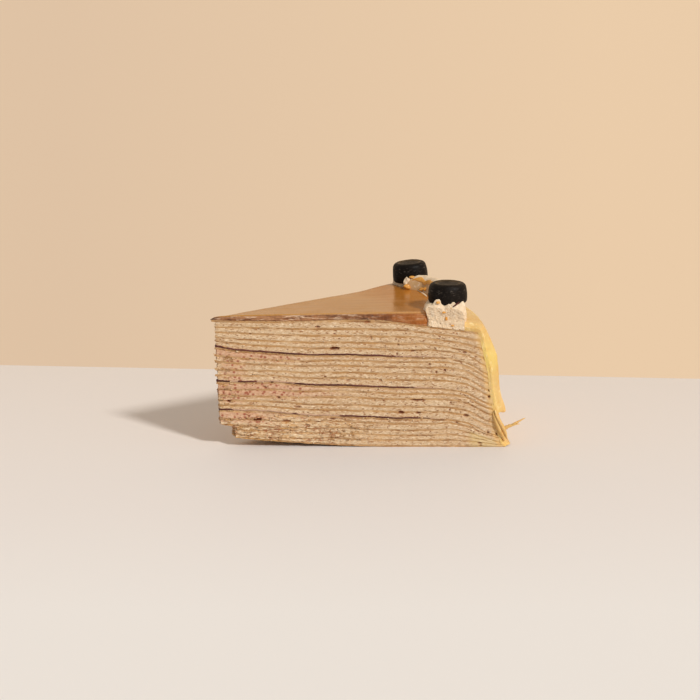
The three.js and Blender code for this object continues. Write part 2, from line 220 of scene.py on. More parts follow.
# Air pockets in the near cut face: distance from the tip, height, length and width
NEAR_POCKETS = (
    (46.8, 39.6, 3.6, 1.1), (40.2, 48.1, 2.0, 0.8), (46.8, 45.4, 1.1, 0.7),
    (60.8, 44.0, 0.8, 0.6), (59.5, 50.0, 2.4, 0.7), (14.1, 45.4, 0.8, 0.6),
    (25.0, 19.8, 1.2, 0.8), (5.8, 18.5, 1.6, 0.9), (16.7, 11.1, 3.0, 1.2),
    (32.5, 16.1, 3.0, 0.7), (52.0, 26.6, 2.2, 0.7), (46.0, 11.3, 2.6, 0.7),
    (19.8, 24.2, 2.4, 0.7), (22.4, 26.1, 1.1, 0.8), (28.0, 10.4, 3.4, 0.8),
    (61.0, 43.4, 0.8, 0.6), (64.5, 43.2, 0.7, 0.6), (70.4, 43.2, 0.9, 0.6),
    (77.1, 38.5, 1.8, 0.7), (97.2, 38.0, 1.7, 0.8), (71.0, 37.3, 0.8, 0.8),
    (101.6, 36.2, 0.8, 0.6), (89.6, 30.8, 1.1, 0.9), (86.3, 30.1, 0.9, 0.8),
    (92.8, 30.8, 0.8, 0.6), (83.7, 33.2, 0.8, 0.8), (64.7, 26.8, 1.6, 0.6),
    (79.2, 18.9, 5.6, 0.8), (72.8, 14.0, 2.2, 1.0), (79.5, 13.6, 1.8, 0.8),
    (92.0, 17.8, 1.0, 0.7), (91.6, 14.9, 0.9, 0.7), (98.1, 12.7, 2.2, 0.8),
    (94.4, 9.8, 1.2, 0.7), (68.0, 8.5, 0.8, 0.6), (107.2, 22.7, 1.1, 0.9),
    (106.9, 20.2, 1.1, 0.9), (106.8, 5.8, 0.9, 0.7), (110.3, 5.3, 1.2, 0.8),
    (103.6, 1.5, 1.9, 0.7), (103.8, 0.6, 1.5, 0.6), (36.0, 8.8, 2.0, 0.7),
    (44.0, 14.0, 1.6, 0.6), (100.3, 16.4, 1.3, 0.6), (97.5, 20.8, 1.0, 0.6),
    (24.0, 7.0, 9.0, 0.56), (30.5, 6.6, 7.0, 0.54), (40.0, 10.2, 3.4, 0.56),
)


def scattered_pockets(seed, count):
    """Small pockets, most of them near the rim."""
    rng = random.Random(seed)
    pockets = []
    for _ in range(count):
        radius = rng.uniform(8, 108) if rng.random() < 0.4 else rng.uniform(66, 108)
        height = rng.uniform(2, 47)
        length = rng.uniform(0.6, 1.1)
        pockets.append((radius, height, length, rng.uniform(0.5, 0.7)))
    return pockets


def pocket_bins(pockets):
    """The pockets sorted by the whole ten millimetres of radius that they touch."""
    bins = {}
    for pocket in pockets:
        for step in range(int((pocket[0] - 4) // 10), int((pocket[0] + 4) // 10) + 1):
            bins.setdefault(step, []).append(pocket)
    return bins


LONG_POCKETS = [(r, h, 3 * length, 0.9) for r, h, length, _ in scattered_pockets(8, 14)]
POCKETS = (
    pocket_bins(list(NEAR_POCKETS) + scattered_pockets(3, 12)),
    pocket_bins(LONG_POCKETS + scattered_pockets(5, 30)),
)


def pocket_depth(radius, height, side):
    depth = 0.0
    for r, h, length, width in POCKETS[side].get(int(radius // 10), ()):
        away = ((radius - r) / (0.5 * length)) ** 2 + ((height - h) / (0.5 * width)) ** 2
        if away < 1.6:
            deepest = min(1.5, 1.6 * width - 0.5)
            depth = max(depth, deepest * clamp01(1.25 - away) ** 0.6)
    return depth


def crumbled(radius, height):
    """Where a cut face is crumbly rather than smooth: by the tip and along the foot."""
    by_tip = fade(7, 24, radius) * fade(34, 42, height)
    foot = fade(10, 16, height) * fade(44, 74, radius)
    return max(by_tip * 0.4, foot, 0.35 * fade(4, 9, height))


CUT_WAVES = (
    (0.3, 0.035, 0.06, 0), (0.12, 0.2, 0.9, 7), (0.13, 0.7, 1.4, 13), (0.09, 1.3, 2.1, 17),
)
CRUMB_WAVES = ((0.3, 0.22, 1.1, 21), (0.35, 0.7, 2.3, 27))


def cut_relief(radius, height, side):
    """How far a cut face stands out there."""
    relief = ripples(radius, height, 50 * side, CUT_WAVES)
    rough = crumbled(radius, height)
    if rough > 0.02:
        relief += rough * ripples(radius, height, 50 * side, CRUMB_WAVES)
    return relief - pocket_depth(radius, height, side)


# How far along and how far down the knife drew each filling out as a reddish stain
STAIN_REACHES = ((30, 5), (60, 7), (46, 4.5))


def stain_strength(radius, height):
    stain = 0.0
    for n, (length, reach) in zip(FILLED_CREPES, STAIN_REACHES):
        below = (n - 1) * LAYER_PITCH + CREPE_THICKNESS - height
        if -0.4 < below < reach:
            drawn = fade(0.6 * reach, reach, below) * fade(length * 0.4, length, radius)
            faint = 0.22 * fade(1.2, 2.4, below) * fade(70, 90, radius)
            stain = max(stain, drawn, faint)
    column = smooth(2, 4, radius) * fade(8, 15, radius)
    column *= smooth(14, 18, height) * fade(36, 39, height)
    return max(stain, 0.7 * column)


def tucked_crepe(radius, height):
    """Where the draped crepe's end shows at the foot of the rim, tucked under the stack."""
    edge = 6.8 - 0.35 * (radius - 99)
    return smooth(98, 101.5, radius) * fade(-0.7, 0.5, height - edge)


def rim_stain(radius, height):
    """How much the layers' ends have taken on the colour of the draped crepe."""
    inside = rim_radius(height) - radius
    return 0.75 * fade(0.1, 2.6 + 1.2 * grain(height * 0.5, 3, 9), inside)


CUT_REACH = 3.2  # how deep behind a cut face its relief is followed
CUT_SOFTNESS = 1.5


def push_cuts(point, radius, angle, extra):
    """The point moved with the cut faces' relief, which fades out inside the slice."""
    moved = point.copy()
    for side, gap in enumerate(cut_distances(radius, angle)):
        if gap < CUT_REACH:
            out = cut_relief(radius, point.z, side) + extra
            moved += CUT_NORMALS[side] * (out * bell(gap, 0, CUT_SOFTNESS))
    return moved


# ---------------------------------------------------------------- mesh helpers


def even_stations(steps):
    """Places from 0 to 1, closer together at both ends."""
    return [0.5 - 0.5 * cos(pi * n / steps) for n in range(steps + 1)]


def block(columns, rows, stations):
    """A closed block from 0 to 1 on each axis: columns on X, rows on Y, stations on Z."""
    bm = bmesh.new()
    bmesh.ops.create_grid(bm, x_segments=columns, y_segments=rows, size=0.5)
    front = bm.faces[:]
    for n in range(1, len(stations)):
        made = bmesh.ops.extrude_face_region(bm, geom=front)["geom"]
        ends = [item for item in made if isinstance(item, bmesh.types.BMVert)]
        step = stations[n] - stations[n - 1]
        bmesh.ops.translate(bm, verts=ends, vec=(0, 0, step))
        if n > 1:
            bmesh.ops.delete(bm, geom=front, context="FACES")
        front = [item for item in made if isinstance(item, bmesh.types.BMFace)]
    bmesh.ops.translate(bm, verts=bm.verts[:], vec=(0.5, 0.5, 0))
    return bm


def marks(bm, *names):
    """New float attributes for a bmesh's vertices."""
    return [bm.verts.layers.float.new(name) for name in names]


def sphere_place(vert):
    """Where a vertex of the unit sphere is: the share of the way up, and the turn round."""
    up = 0.5 + asin(max(-1.0, min(1.0, vert.co.z))) / pi
    return up, atan2(vert.co.y, vert.co.x)


def add_object(name, data):
    item = bpy.data.objects.new(name, data)
    bpy.context.scene.collection.objects.link(item)
    return item


def add_mesh(bm, name, material):
    """The object of a finished bmesh, whose points are brought to metres."""
    for vert in bm.verts:
        vert.co = place(vert.co)
    mesh = bpy.data.meshes.new(name)
    bm.to_mesh(mesh)
    bm.free()
    mesh.materials.append(material)
    return add_object(name, mesh)


def turn_faces_out(bm):
    """Gives every closed part of a bmesh faces that look outward, by the sign of its volume."""
    bmesh.ops.recalc_face_normals(bm, faces=bm.faces[:])
    bm.normal_update()
    left = set(bm.faces)
    inside_out = []
    while left:
        part = [left.pop()]
        for face in part:
            beside = {other for edge in face.edges for other in edge.link_faces} & left
            left -= beside
            part += beside
        middle = part[0].calc_center_median()
        volume = sum(face.calc_area() * face.normal.dot(face.calc_center_median() - middle)
                     for face in part)
        if volume < 0:
            inside_out += part
    bmesh.ops.reverse_faces(bm, faces=inside_out)


def finish_piece(bm, name, material, slot, sharp, *nodes):
    """Makes the object of a finished bmesh, puts it under the root body and hides the imported
    parts of these nodes. Edges of more than sharp degrees stay sharp."""
    turn_faces_out(bm)
    piece = add_mesh(bm, name, material)
    piece.data.shade_smooth()
    piece.data.set_sharp_from_angle(angle=radians(sharp))
    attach(piece, "root")
    if nodes:
        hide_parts(*nodes)


def profile_at(profile, way):
    """The point at this share of a profile's steps, on a smooth curve through its points."""
    last = len(profile) - 1
    step = min(int(way * last), last - 1)
    t = way * last - step
    p1 = profile[step]
    p2 = profile[step + 1]
    p0 = profile[step - 1] if step else p1
    p3 = profile[step + 2] if step + 2 <= last else p2
    return tuple(
        0.5 * (2 * b + (c - a) * t + (2 * a - 5 * b + 4 * c - d) * t * t
               + (3 * b - a - 3 * c + d) * t**3)
        for a, b, c, d in zip(p0, p1, p2, p3)
    )


# ---------------------------------------------------------------- materials


def colour(red, green, blue):
    """A screen colour from 0 to 255 as the shader's linear colour."""
    def linear(value):
        share = value / 255
        return share / 12.92 if share <= 0.04045 else ((share + 0.055) / 1.055) ** 2.4
    return (linear(red), linear(green), linear(blue), 1)


class Finish:
    """A material with one principled shader. Its tone is the colour that the tints build up,
    from masks between 0 and 1."""

    def __init__(self, name, roughness, **sockets):
        self.material = bpy.data.materials.new(name)
        self.material.use_nodes = True
        self.nodes = self.material.node_tree.nodes
        self.links = self.material.node_tree.links
        self.shader = self.nodes["Principled BSDF"]
        self.shader.inputs["Roughness"].default_value = roughness
        for socket, value in sockets.items():
            self.shader.inputs[socket.replace("_", " ")].default_value = value
        self.coordinates = self.nodes.new("ShaderNodeTexCoord").outputs["Object"]
        self.tone = None

    def fed(self, node, output, inputs):
        """The output of a node whose inputs are given plain values, other outputs or the names
        of the mesh's attributes."""
        for key, value in inputs.items():
            if isinstance(value, str):
                value = self.attribute(value)
            if isinstance(value, bpy.types.NodeSocket):
                self.links.new(value, node.inputs[key])
            else:
                node.inputs[key].default_value = value
        return node.outputs[output]

    def stretched(self, stretch):
        node = self.nodes.new("ShaderNodeMapping")
        return self.fed(node, "Vector", {"Vector": self.coordinates, "Scale": stretch})

    def noise(self, scale, detail=3, roughness=0.55, stretch=(1, 1, 1)):
        """Noise of about this many features to the metre."""
        node = self.nodes.new("ShaderNodeTexNoise")
        return self.fed(node, "Fac", {"Vector": self.stretched(stretch), "Scale": scale,
                                      "Detail": detail, "Roughness": roughness})

    def attribute(self, name):
        node = self.nodes.new("ShaderNodeAttribute")
        node.attribute_name = name
        return node.outputs["Fac"]

    def ranged(self, value, low, high, to_low=0.0, to_high=1.0):
        node = self.nodes.new("ShaderNodeMapRange")
        return self.fed(node, "Result", {"Value": value, "From Min": low, "From Max": high,
                                         "To Min": to_low, "To Max": to_high})

    def patches(self, low, high, *noise):
        """1 where the noise is above high and 0 where it is below low."""
        return self.ranged(self.noise(*noise), low, high)

    def dots(self, low, high, scale, stretch=(1, 1, 1), feature="F1"):
        """1 within low of many scattered points and 0 past high. With the feature
        DISTANCE_TO_EDGE it follows the cracks between them."""
        node = self.nodes.new("ShaderNodeTexVoronoi")
        node.feature = feature
        away = self.fed(node, "Distance", {"Vector": self.stretched(stretch), "Scale": scale})
        return self.ranged(away, low, high, 1, 0)

    def ramp(self, axis, low, high):
        """0 below low on an axis of the object and 1 above high."""
        node = self.nodes.new("ShaderNodeSeparateXYZ")
        return self.ranged(self.fed(node, axis, {"Vector": self.coordinates}), low, high)

    def math(self, operation, first, second):
        node = self.nodes.new("ShaderNodeMath")
        node.operation = operation
        return self.fed(node, "Value", {0: first, 1: second})

    def product(self, *factors):
        result = factors[0]
        for factor in factors[1:]:
            result = self.math("MULTIPLY", result, factor)
        return result

    def mix(self, factor, first, second):
        """A mix of two colours, by the number of the Mix node's sockets for colours."""
        node = self.nodes.new("ShaderNodeMix")
        node.data_type = "RGBA"
        return self.fed(node, 2, {0: factor, 6: first, 7: second})

    def base(self, first, second, *patches):
        """Starts the tone as patches of two colours."""
        self.tone = self.mix(self.patches(*patches), colour(*first), colour(*second))

    def tint(self, rgb, *masks):
        """Mixes a colour into the tone where all the masks are high."""
        self.tone = self.mix(self.product(*masks), self.tone, colour(*rgb))

    def tints(self, *rows):
        """Tints in turn. Each row is a colour, its share, and an attribute's name or the
        settings of patches as its mask."""
        for rgb, share, mask in rows:
            self.tint(rgb, mask if isinstance(mask, str) else self.patches(*mask), share)

    def crumble(self, share):
        """Adds pale clumps, by this share, and thin brown cracks where the face is crumbly."""
        clumps = self.patches(0.38, 0.6, 1300, 3, 0.6, (0.45, 0.45, 1.8))
        clumped = self.mix(clumps, colour(202, 158, 106), colour(242, 220, 184))
        self.tone = self.mix(self.product("crumbled", share), self.tone, clumped)
        cracks = self.dots(0.03, 0.14, 900, (0.42, 0.42, 2), "DISTANCE_TO_EDGE")
        some = self.patches(0.5, 0.58, 420, 3, 0.6, (0.4, 0.4, 2))
        self.tint((146, 82, 38), cracks, some, "crumbled", 0.9)
        gold = self.patches(0.56, 0.64, 300, 3, 0.6, (0.3, 0.3, 2.6))
        self.tint((204, 150, 80), gold, "crumbled", 0.6)

    def rough(self, value):
        self.links.new(value, self.shader.inputs["Roughness"])

    def bump(self, height, distance, strength):
        """Adds a bump of this height in metres on top of what was there."""
        node = self.nodes.new("ShaderNodeBump")
        inputs = {"Height": height, "Distance": distance, "Strength": strength}
        normal = self.shader.inputs["Normal"]
        if normal.is_linked:
            inputs["Normal"] = normal.links[0].from_socket
        self.links.new(self.fed(node, "Normal", inputs), normal)

    def painted(self):
        """The material, with the tone as its colour."""
        self.links.new(self.tone, self.shader.inputs["Base Color"])
        return self.material


def cream_finish():
    look = Finish("coffee_cream", 0.8, IOR=1.4)
    look.base((198, 164, 126), (214, 185, 149), 0.3, 0.7, 60, 3, 0.5, (1, 1, 2))
    # Streaks, painted shade on the upper side of each cream layer under the crepe above, pale
    # dashes and dark gaps
    look.tints(((188, 144, 98), 0.5, (0.5, 0.68, 420, 4, 0.6, (0.3, 0.3, 2.2))),
               ((190, 146, 100), 0.5, "upper"),
               ((238, 215, 183), 0.6, (0.5, 0.62, 1350, 3, 0.6, (0.48, 0.48, 1.6))),
               ((146, 94, 52), 0.9, (0.44, 0.36, 1500, 3, 0.6, (0.5, 0.5, 1.7))))
    look.crumble(0.42)
    look.tint((204, 146, 118), "stain", 0.45)
    look.tint((152, 76, 50), look.dots(0.24, 0.46, 760, (0.8, 0.8, 0.9)),
              look.patches(0.34, 0.46, 330), look.ranged("stain", 0.2, 0.6), 0.85)
    look.tints(((214, 186, 130), 0.55, "tucked"), ((222, 180, 118), 1, "rim"))
    # Painted shade in small pores, which the bump also dents
    pore_shade = look.product(look.dots(0.12, 0.24, 760, (0.8, 0.8, 1)),
                         look.patches(0.52, 0.6, 260, 2))
    look.tint((128, 70, 36), pore_shade, 0.85)
    # Painted shade in the air pockets of the cut faces
    look.tint((140, 66, 26), "pocket_shade", 0.85)
    look.bump(look.noise(1300, 4, 0.7), 0.00016, 0.8)
    look.bump(pore_shade, -0.0002, 0.6)
    return look.painted()


def crepe_finish():
    look = Finish("browned_crepe", 0.65, IOR=1.42)
    look.base((150, 102, 52), (180, 132, 78), 0.32, 0.68, 90, 3, 0.6, (1, 1, 2.5))
    # A dark core, faded lengths, smears of cream and painted light on the upper side of each
    # crepe
    look.tints(((108, 62, 28), 0.6, (0.5, 0.6, 260, 3, 0.6, (0.5, 0.5, 2))),
               ((202, 164, 120), 0.5, (0.46, 0.64, 55, 3, 0.5, (1, 1, 5))),
               ((206, 172, 132), 0.75, (0.52, 0.62, 700, 4, 0.65, (0.4, 0.4, 1.5))),
               ((202, 162, 114), 0.75, "upper"))
    look.tint((134, 62, 44), look.dots(0.2, 0.36, 900, (0.8, 0.8, 1)),
              look.ranged("stain", 0.2, 0.7), 0.6)
    look.crumble(0.15)
    # The last row is painted shade in the air pockets of the cut faces
    look.tints(((192, 158, 98), 0.7, "tucked"), ((212, 162, 92), 1, "rim"),
               ((132, 60, 24), 0.85, "pocket_shade"))
    look.bump(look.noise(1300, 4, 0.7), 0.00012, 0.7)
    return look.painted()


def filling_finish():
    look = Finish("dark_chocolate_filling", 0.6, IOR=1.4, Specular_IOR_Level=0.2)
    look.base((70, 34, 28), (108, 62, 52), 0.35, 0.65, 260, 4, 0.6, (0.4, 0.4, 2))
    covered = look.math("ADD", look.noise(260, 4, 0.7, (0.5, 0.5, 1)),
                        look.product("covered", 0.38))
    look.tint((184, 148, 122), look.ranged(covered, 0.64, 0.74))
    look.bump(look.noise(900, 3), 0.0001, 0.6)
    return look.painted()


def glaze_finish():
    look = Finish("caramel_glaze", 0.2, IOR=1.47)
    look.base((166, 111, 41), (177, 121, 50), 0.3, 0.7, 24, 3, 0.5, (0.5, 1, 1))
    look.tints(((206, 154, 92), 0.2, (0.4, 0.6, 700, 3, 0.6, (0.03, 1, 1))))
    mottled = look.noise(420, 4, 0.7, (0.4, 0.4, 1.5))
    brown = look.mix(look.ranged(mottled, 0.38, 0.6), colour(70, 30, 8), colour(138, 80, 34))
    look.tone = look.mix("band", look.tone, brown)
    look.tint((172, 94, 14), "warm", 0.75)
    lines = look.patches(0.58, 0.66, 900, 3, 0.6, (0.03, 1, 1))
    look.tint((216, 176, 128), lines, "warm", 0.35)
    haze = look.patches(0.4, 0.58, 420, 4, 0.7, (0.25, 0.25, 2))
    look.tint((174, 122, 80), haze, "film", 0.8)
    scratches = look.patches(0.53, 0.62, 900, 4, 0.7, (0.25, 0.25, 1.5))
    pale = look.math("ADD", look.product("film", 0.5), look.product("band", 0.2))
    look.tint((226, 194, 162), scratches, pale)
    # Painted highlight along the rounded top edge of the glaze at the cuts
    look.tint((206, 158, 106), "rim", 0.35)
    dull = look.math("MAXIMUM", "film", look.product("band", 0.5))
    clear = look.ranged(look.noise(160, 2), 0.3, 0.7, 0.17, 0.27)
    look.rough(look.math("ADD", look.product(dull, 0.45), clear))
    look.bump(look.noise(420, 3, 0.6, (0.04, 1, 1)), 0.00002, 0.4)
    look.bump(look.product(mottled, "band"), 0.0003, 0.6)
    return look.painted()


def draped_finish():
    look = Finish("egg_crepe", 0.5, IOR=1.4, Subsurface_Weight=0.2,
                  Subsurface_Radius=(1.0, 0.7, 0.3), Subsurface_Scale=0.0018)
    look.base((224, 186, 124), (208, 162, 92), 0.34, 0.66, 110, 4, 0.6, (1, 1, 0.5))
    # The fold mark is painted light: a brighter yellow in the creases between pleats, on the
    # faces turned in between the sheets and along the lifted fold by the near cut
    look.tints(((226, 176, 102), 0.6, "low"), ((242, 212, 110), 0.5, "fold"),
               ((242, 216, 160), 0.6, (0.56, 0.66, 520, 4, 0.7, (1, 1, 0.5))))
    brown = look.patches(0.54, 0.66, 430, 4, 0.7, (1, 1, 0.6))
    look.tint((206, 144, 66), brown, look.ranged("low", 0, 1, 0.3, 0.5))
    look.tint((176, 100, 38), look.dots(0.1, 0.18, 300), "low", 0.6)
    look.rough(look.ranged(look.noise(200, 3), 0.3, 0.7, 0.42, 0.64))
    look.bump(look.noise(260, 4, 0.6, (1, 1, 0.4)), 0.0003, 0.5)
    look.bump(look.noise(1400, 3), 0.0001, 0.5)
    return look.painted()


def piped_finish():
    look = Finish("piped_cream", 0.75, IOR=1.4)
    look.base((219, 189, 153), (231, 206, 174), 0.3, 0.7, 150, 3)
    # The first row is painted shade: the rope is darker and warmer below its lit top
    look.tints(((188, 140, 80), 0.75, "rope_shade"),
               ((246, 230, 206), 0.35, (0.54, 0.64, 700, 3, 0.6)),
               ((206, 156, 100), 0.45, (0.6, 0.7, 620, 3, 0.6)))
    # Painted shade in small pits on the cut face, which the bump also dents
    pore_shade = look.product(look.dots(0.14, 0.28, 700), "cut",
                         look.patches(0.45, 0.53, 400, 2))
    look.tint((158, 104, 60), pore_shade, 0.75)
    look.bump(look.noise(1100, 4, 0.7), 0.0002, 0.6)
    look.bump(pore_shade, -0.0003, 0.6)
    return look.painted()


def drum_finish():
    look = Finish("black_chocolate", 0.45, IOR=1.45, Specular_IOR_Level=0.1)
    look.base((16, 11, 8), (27, 20, 15), 0.3, 0.7, 160, 3)
    specks = look.patches(0.58, 0.68, 1400, 3, 0.7, (0.5, 0.5, 1.8))
    # Pale specks, thickest in a band round the upper side
    look.tint((126, 114, 102), specks, "pale_specks", 0.6)
    # Painted light on the inner wall of the dished top, a thin lighter ring
    look.tint((104, 82, 54), "lit_dish_wall", 0.6)
    look.rough(look.ranged(look.noise(420, 4, 0.7), 0.3, 0.7, 0.36, 0.6))
    look.bump(look.noise(700, 4, 0.7), 0.00015, 0.5)
    return look.painted()


def sauce_finish():
    look = Finish("caramel_sauce", 0.25, IOR=1.47)
    look.base((206, 134, 42), (226, 166, 80), 0.3, 0.7, 500, 3)
    look.bump(look.noise(700, 2), 0.0001, 0.4)
    return look.painted()


cream_look = cream_finish()
crepe_look = crepe_finish()
filling_look = filling_finish()
glaze_look = glaze_finish()
draped_look = draped_finish()
piped_look = piped_finish()
drum_look = drum_finish()
sauce_look = sauce_finish()


# ---------------------------------------------------------------- crepes, cream and fillings

LAYER_COLUMNS = 330
LAYER_STATIONS = even_stations(9)
TOP_CREPE = f"crepe_{CREPE_COUNT}"

# How much of each filling is hidden by smeared cream, along the distance from the tip
FILLING_COVERS = (
    ((0, 0), (6, 0.1), (9, 0.9), (20, 0.7), (28, 0.5), (34, 0.95), (44, 0.8), (50, 0.05),
     (80, 0.1), (88, 1)),
    ((0, 0), (6, 0.1), (7, 0.9), (9, 0.9), (10, 0.2), (16, 0.2), (18, 0.95), (30, 0.75),
     (37, 0.2), (42, 0), (74, 0.05), (82, 1)),
    ((0, 0), (36, 0), (42, 0.4), (47, 0.05), (68, 0.1), (78, 0.8), (90, 1)),
)


# Tables of waves are for ripples()
TIP_WAVES = ((0.55, 4, 0.8, 3), (0.3, 9, 2.3, 11))


def torn_tip(angle, height, sticks_out):
    """The radius where a layer ends at the torn tip."""
    ragged = sticks_out * (1 + 1.4 * smooth(22, 27, height) * fade(36, 40, height))
    ragged *= 1 + grain(angle * 3, height * 5.1, 8)
    return tip_radius(height) + ripples(angle, height, 0, TIP_WAVES) - ragged


def layer_end(angle, height):
    """The radius where a layer ends at the rim. Beside the cuts it meets the draped crepe."""
    behind = rim_radius(height) * min(angle, WEDGE - angle)
    reach = 0.35 + 1.1 * fade(4, 15, height) + 0.4 * hanging_end(110, height)
    uneven = 0.25 * grain(angle * 9, height * 1.4, 5)
    return rim_radius(height) + uneven + reach * bell(behind, 0, 2)


def tip_lip(radius):
    """How the top crepe and the glaze are drawn out and up at the very tip."""
    return Vector((-1.4 * bell(radius, 1, 2), 0, 0.4 * exp(-radius / 2)))


def surface_point(radius, angle, height):
    """A point between two layers, with their unevenness."""
    point = stack_point(radius, angle, height)
    point.z += layer_wave(point, height)
    return point


def add_layer(node, bottom, top, rows, bulge, material, slot, end=None, sticks_out=0.0,
              thickness=None, cover=None):
    """One layer. bottom and top are the heights of its surfaces where they are flat. With a
    thickness, its top is that far above its bottom, and both follow the lower surface."""
    bm = block(LAYER_COLUMNS, rows, LAYER_STATIONS)
    stain, crumb, upper, covered, tucked, rim, pocket_shade = marks(
        bm, "stain", "crumbled", "upper", "covered", "tucked", "rim", "pocket_shade")
    unevenness = 0.4 if thickness else 1.1
    for vert in bm.verts:
        along, up, across = vert.co
        height = lerp(bottom, top, up)
        angle = WEDGE * clamp01(across)
        outer = end if end else layer_end(angle, height)
        radius = lerp(torn_tip(angle, height, sticks_out), outer, along)
        low = surface_point(radius, angle, bottom)
        if thickness is None:
            point = low.lerp(surface_point(radius, angle, top), up)
        else:
            thin = thickness * (1 - smooth(0.84, 1.0, along) * 0.95)
            thin *= 1 + 0.6 * exp(-radius / 5) + 0.35 * grain(radius * 0.2, bottom, 19)
            point = low + Vector((0, 0, thin * up))
        uneven = 1 + unevenness * grain(radius * 0.16, height * 0.9, angle * 4 + 77)
        # Painted shade in the air pockets of the cut faces, darker where they are deeper
        if min(cut_distances(radius, angle)) < 0.4:
            depth = pocket_depth(radius, point.z, NEAR if angle < WEDGE / 2 else FAR)
            vert[pocket_shade] = clamp01(1.2 * depth)
        point = push_cuts(point, radius, angle, bulge * uneven * 4 * up * (1 - up))
        if node == TOP_CREPE:
            point += tip_lip(radius)
        point.z = max(point.z, 0.02)
        vert.co = point
        vert[stain] = stain_strength(radius, height)
        vert[crumb] = crumbled(radius, height)
        # The upper mark paints shading across each layer: shade towards the top of a cream
        # layer, under the crepe above, and light towards the top of a crepe
        vert[upper] = up * up
        vert[covered] = along_line(cover, radius) if cover else 0
        vert[tucked] = tucked_crepe(radius, point.z)
        vert[rim] = rim_stain(radius, height)
        if node == "crepe_01":
            # The lowest crepe stays whole along the lifted foot
            vert[rim] = max(vert[rim], 0.4 * fade(18, 34, radius))
            vert[crumb] *= 0.3
    finish_piece(bm, f"{node}_layer", material, slot, 50, node)


def add_stack():
    for n in range(1, CREPE_COUNT + 1):
        bottom = (n - 1) * LAYER_PITCH
        top = bottom + CREPE_THICKNESS
        add_layer(f"crepe_{n:02d}", bottom, top, 3, -0.13, crepe_look, "crepe", sticks_out=0.35)
        if n < CREPE_COUNT:
            add_layer(f"cream_{n:02d}", top, bottom + LAYER_PITCH, 5, 0.1, cream_look, "cream")
    for index, (n, cover) in enumerate(zip(FILLED_CREPES, FILLING_COVERS), 1):
        top = (n - 1) * LAYER_PITCH + CREPE_THICKNESS
        add_layer(f"chocolate_filling_{index}", top, top + 0.01, 4, 0.32, filling_look,
                  "chocolate_filling", end=FILLING_END, sticks_out=0.2,
                  thickness=FILLING_THICKNESS, cover=cover)


# ---------------------------------------------------------------- glaze

GLAZE_EDGE = 0.4  # how far its top rounds over at the cuts


def glaze_top(radius, angle):
    """The height of the glaze, which is thicker at the near cut and by the far dollop."""
    turn = angle / WEDGE
    out = clamp01(radius / 90) ** 0.6
    corner = smooth(68, 88, radius) * clamp01(2 * turn - 0.6)
    return 51.8 + 2.1 * out + 0.35 * (1 - 2 * turn) + 1.2 * corner


GLAZE_WAVES = ((0.25, 0.8, 3, 70), (0.2, 1.6, 7, 75))


def add_glaze():
    bm = block(320, 6, even_stations(44))
    film, band, rim, warm = marks(bm, "film", "band", "rim", "warm")
    for vert in bm.verts:
        along, up, across = vert.co
        angle = WEDGE * clamp01(across)
        inner = torn_tip(angle, STACK_HEIGHT, 0.3)
        radius = lerp(inner, GLAZE_END, along)
        gaps = cut_distances(radius, angle)
        under = surface_point(radius, angle, STACK_HEIGHT)
        top = glaze_top(radius, angle) + 0.06 * grain(under.x * 0.06, under.y * 0.2, 60)
        short = clamp01(1 - min(*gaps, radius - inner + 0.15) / GLAZE_EDGE)
        top -= GLAZE_EDGE * 0.7 * (1 - sqrt(1 - short * short))
        top -= 0.15 * short * max(0.0, grain(radius * 0.5, 0, 63))
        # At the very tip it thins to a beak that bends down a little
        beak = bell(radius, inner, 1.6)
        level = lerp(up, 0.45, 0.7 * beak)
        point = Vector((under.x, under.y, lerp(under.z - 0.02, top, level) - 0.5 * beak**2))
        sag_out = 0.25 * sin(pi * clamp01(up * 1.1))
        for side, gap in enumerate(gaps):
            if gap < CUT_REACH:
                out = cut_relief(radius, point.z, side) * 0.6 + sag_out
                out += ripples(radius, up, 9 * side, GLAZE_WAVES) * (1 - up**6)
                if side == NEAR:
                    out -= smooth(81.5, 83.5, radius)
                point += CUT_NORMALS[side] * (out * bell(gap, 0, CUT_SOFTNESS))
        vert.co = point + tip_lip(radius)
        at_cut = 1.0 if min(gaps) < 0.02 and up < 0.95 else 0.0
        vert[film] = at_cut * fade(46, 62, radius) * smooth(0, 0.15, up)
        vert[film] *= smooth(1, 3, radius - inner)
        vert[band] = max(at_cut, beak)
        vert[warm] = smooth(60, 82, radius) * (0.6 + 0.4 * at_cut)
        # Painted highlight: the rim mark lightens the rounded top edge beside the cuts
        lit = fade(0.02, 0.35, min(gaps)) * smooth(0.85, 1.0, up)
        vert[rim] = lit * smooth(20, 40, radius)
    finish_piece(bm, "glaze_coat", glaze_look, "glaze", 60, "glaze")


# ---------------------------------------------------------------- draped crepes

SHEET_THICKNESS = 0.9
SHEET_TOP_RADIUS = 96.5
SHEET_SHOULDER = 0.16  # the share of a draped crepe that lies on top of the stack
CUT_HUG = 2.4  # the distance behind a cut within which the draped crepes turn in to it
END_WAVES = ((0.35, 0.8, 1, 53), (0.25, 2.1, 2, 59))

